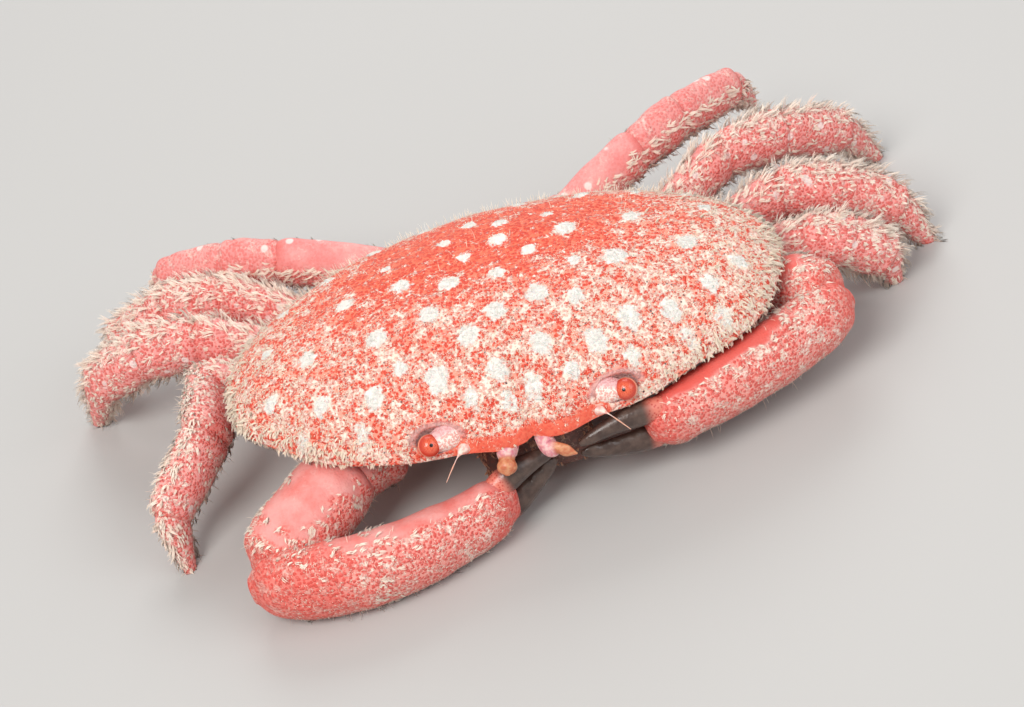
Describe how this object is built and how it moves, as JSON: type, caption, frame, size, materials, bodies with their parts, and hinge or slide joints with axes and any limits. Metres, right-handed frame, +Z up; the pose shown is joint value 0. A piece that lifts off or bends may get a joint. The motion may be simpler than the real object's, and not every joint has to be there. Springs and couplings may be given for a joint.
{
  "type": "strawberry crab",
  "caption": "Life-size still model of a strawberry crab: oval spotted shell, bristly coral-pink claws folded in front and splayed walking legs, resting on the floor.",
  "frame": {"origin": "centre of the bounding box in X and Y, on the floor that the claw and legs rest on", "axes": "the crab faces -Y, its own left side is +X, +Z up"},
  "size_m": [0.0624, 0.0386, 0.0137],
  "materials": {
    "shell": "orange-red granular shell with white spots and short pale bristles",
    "leg": "coral-pink shell under short cream bristles",
    "claw": "coral-pink granular shell, smooth and paler above",
    "finger": "dark grey-brown horn with greyer edges",
    "underside": "tan-pink shell plates",
    "cornea": "orange-red netted eye with a dark point",
    "eyestalk": "pink-white speckled stalk",
    "feeler": "pink and tan feelers"
  },
  "bodies": {
    "root": {"abdomen": "underside", "antenna_left": "feeler", "antenna_right": "feeler", "antennule_left": "feeler", "antennule_right": "feeler", "carapace": "shell", "claw_carpus_left": "claw", "claw_carpus_right": "claw", "claw_finger_left": "finger", "claw_finger_right": "finger", "claw_merus_left": "claw", "claw_merus_right": "claw", "claw_palm_left": "claw", "claw_palm_right": "claw", "cornea_left": "cornea", "cornea_right": "cornea", "eyestalk_left": "eyestalk", "eyestalk_right": "eyestalk", "leg2_carpus_left": "leg", "leg2_carpus_right": "leg", "leg2_dactylus_left": "leg", "leg2_dactylus_right": "leg", "leg2_merus_left": "leg", "leg2_merus_right": "leg", "leg2_propodus_left": "leg", "leg2_propodus_right": "leg", "leg3_carpus_left": "leg", "leg3_carpus_right": "leg", "leg3_dactylus_left": "leg", "leg3_dactylus_right": "leg", "leg3_merus_left": "leg", "leg3_merus_right": "leg", "leg3_propodus_left": "leg", "leg3_propodus_right": "leg", "leg4_carpus_left": "leg", "leg4_carpus_right": "leg", "leg4_dactylus_left": "leg", "leg4_dactylus_right": "leg", "leg4_merus_left": "leg", "leg4_merus_right": "leg", "leg4_propodus_left": "leg", "leg4_propodus_right": "leg", "leg5_carpus_left": "leg", "leg5_carpus_right": "leg", "leg5_dactylus_left": "leg", "leg5_dactylus_right": "leg", "leg5_merus_left": "leg", "leg5_merus_right": "leg", "leg5_propodus_left": "leg", "leg5_propodus_right": "leg", "maxilliped_left": "underside", "maxilliped_right": "underside", "thorax": "underside"}
  },
  "joints": []
}
